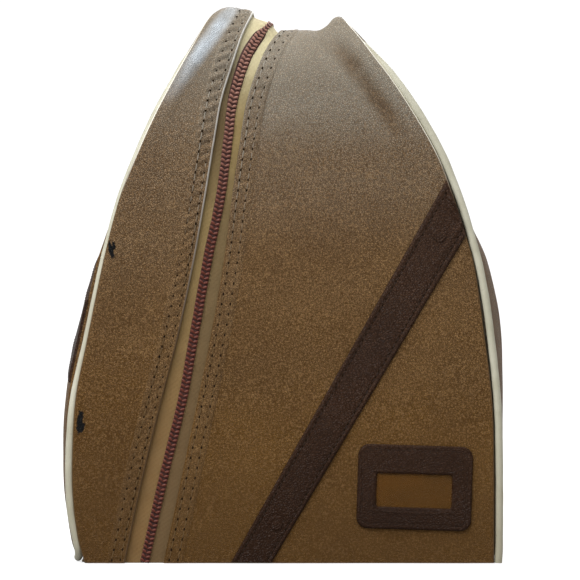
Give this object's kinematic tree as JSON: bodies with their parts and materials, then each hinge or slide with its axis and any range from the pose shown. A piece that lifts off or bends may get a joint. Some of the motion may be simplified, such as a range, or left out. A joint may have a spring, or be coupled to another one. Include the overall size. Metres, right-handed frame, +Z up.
{
  "type": "golf shoe bag",
  "caption": "Upright, tapering vinyl bag for a pair of golf shoes; a zip over its top frees the side part, which folds down as a lid.",
  "frame": {"origin": "middle of the bag's box in plan, on the surface that its base stands on", "axes": "+Z up, +X to the right seen from the front, -Y towards the front, which carries the diagonal band and the address frame"},
  "size_m": [0.2815, 0.1659, 0.345],
  "materials": {
    "tan_vinyl": "pebble-grain imitation leather, satin, worn",
    "brown_vinyl": "dark brown grained imitation leather, satin",
    "cream_piping": "smooth cream vinyl cord, yellowed",
    "gold_tape": "woven zip tape, stained",
    "russet_coil": "red-brown nylon coil with a slight shine",
    "grey_board": "plain millboard",
    "beige_lining": "plain woven cotton",
    "clear_film": "thin clear sheet",
    "aged_brass": "dulled"
  },
  "bodies": {
    "body": {"body_wrap_panel": "tan_vinyl", "right_side_panel": "tan_vinyl", "right_side_board": "grey_board", "right_side_lining": "beige_lining", "right_piping": "cream_piping", "base_panel": "tan_vinyl", "base_board": "grey_board", "body_zip_tape": "gold_tape", "body_zip_chain": "russet_coil", "body_zip_stop": "aged_brass", "front_diagonal_band": "brown_vinyl", "band_rivet_upper": "brown_vinyl", "band_rivet_lower": "brown_vinyl", "address_frame": "brown_vinyl", "address_window_film": "clear_film", "handle_end_cap_front": "brown_vinyl", "handle_end_cap_back": "brown_vinyl", "handle_rivet_front": "aged_brass", "handle_rivet_back": "aged_brass"},
    "lid": {"lid_wrap_strip": "tan_vinyl", "left_side_panel": "tan_vinyl", "left_side_board": "grey_board", "left_side_lining": "beige_lining", "left_side_band": "brown_vinyl", "left_piping": "cream_piping", "lid_zip_tape": "gold_tape", "lid_zip_chain": "russet_coil", "lid_zip_stop": "aged_brass"},
    "handle": {"handle_strap": "brown_vinyl"},
    "slider": {"zip_slider": "aged_brass"},
    "pull": {"zip_pull": "aged_brass"}
  },
  "joints": [
    {"name": "lid_hinge", "type": "hinge", "parent": "body", "child": "lid", "pos_m": [-0.1283, 0, 0.0027], "axis": [0, -1, 0], "range_deg": [0, 75]},
    {"name": "handle_lift", "type": "slide", "parent": "body", "child": "handle", "axis": [0, 0, 1], "range_m": [0, 0.012]},
    {"name": "zip_run", "type": "slide", "parent": "body", "child": "slider", "axis": [0.2038, -0.0398, 0.9782], "range_m": [0, 0.17]},
    {"name": "pull_swing", "type": "hinge", "parent": "slider", "child": "pull", "pos_m": [-0.07879, 0.08149, 0.03712], "axis": [0.979, 0.0083, -0.2037], "range_deg": [0, 165]}
  ]
}
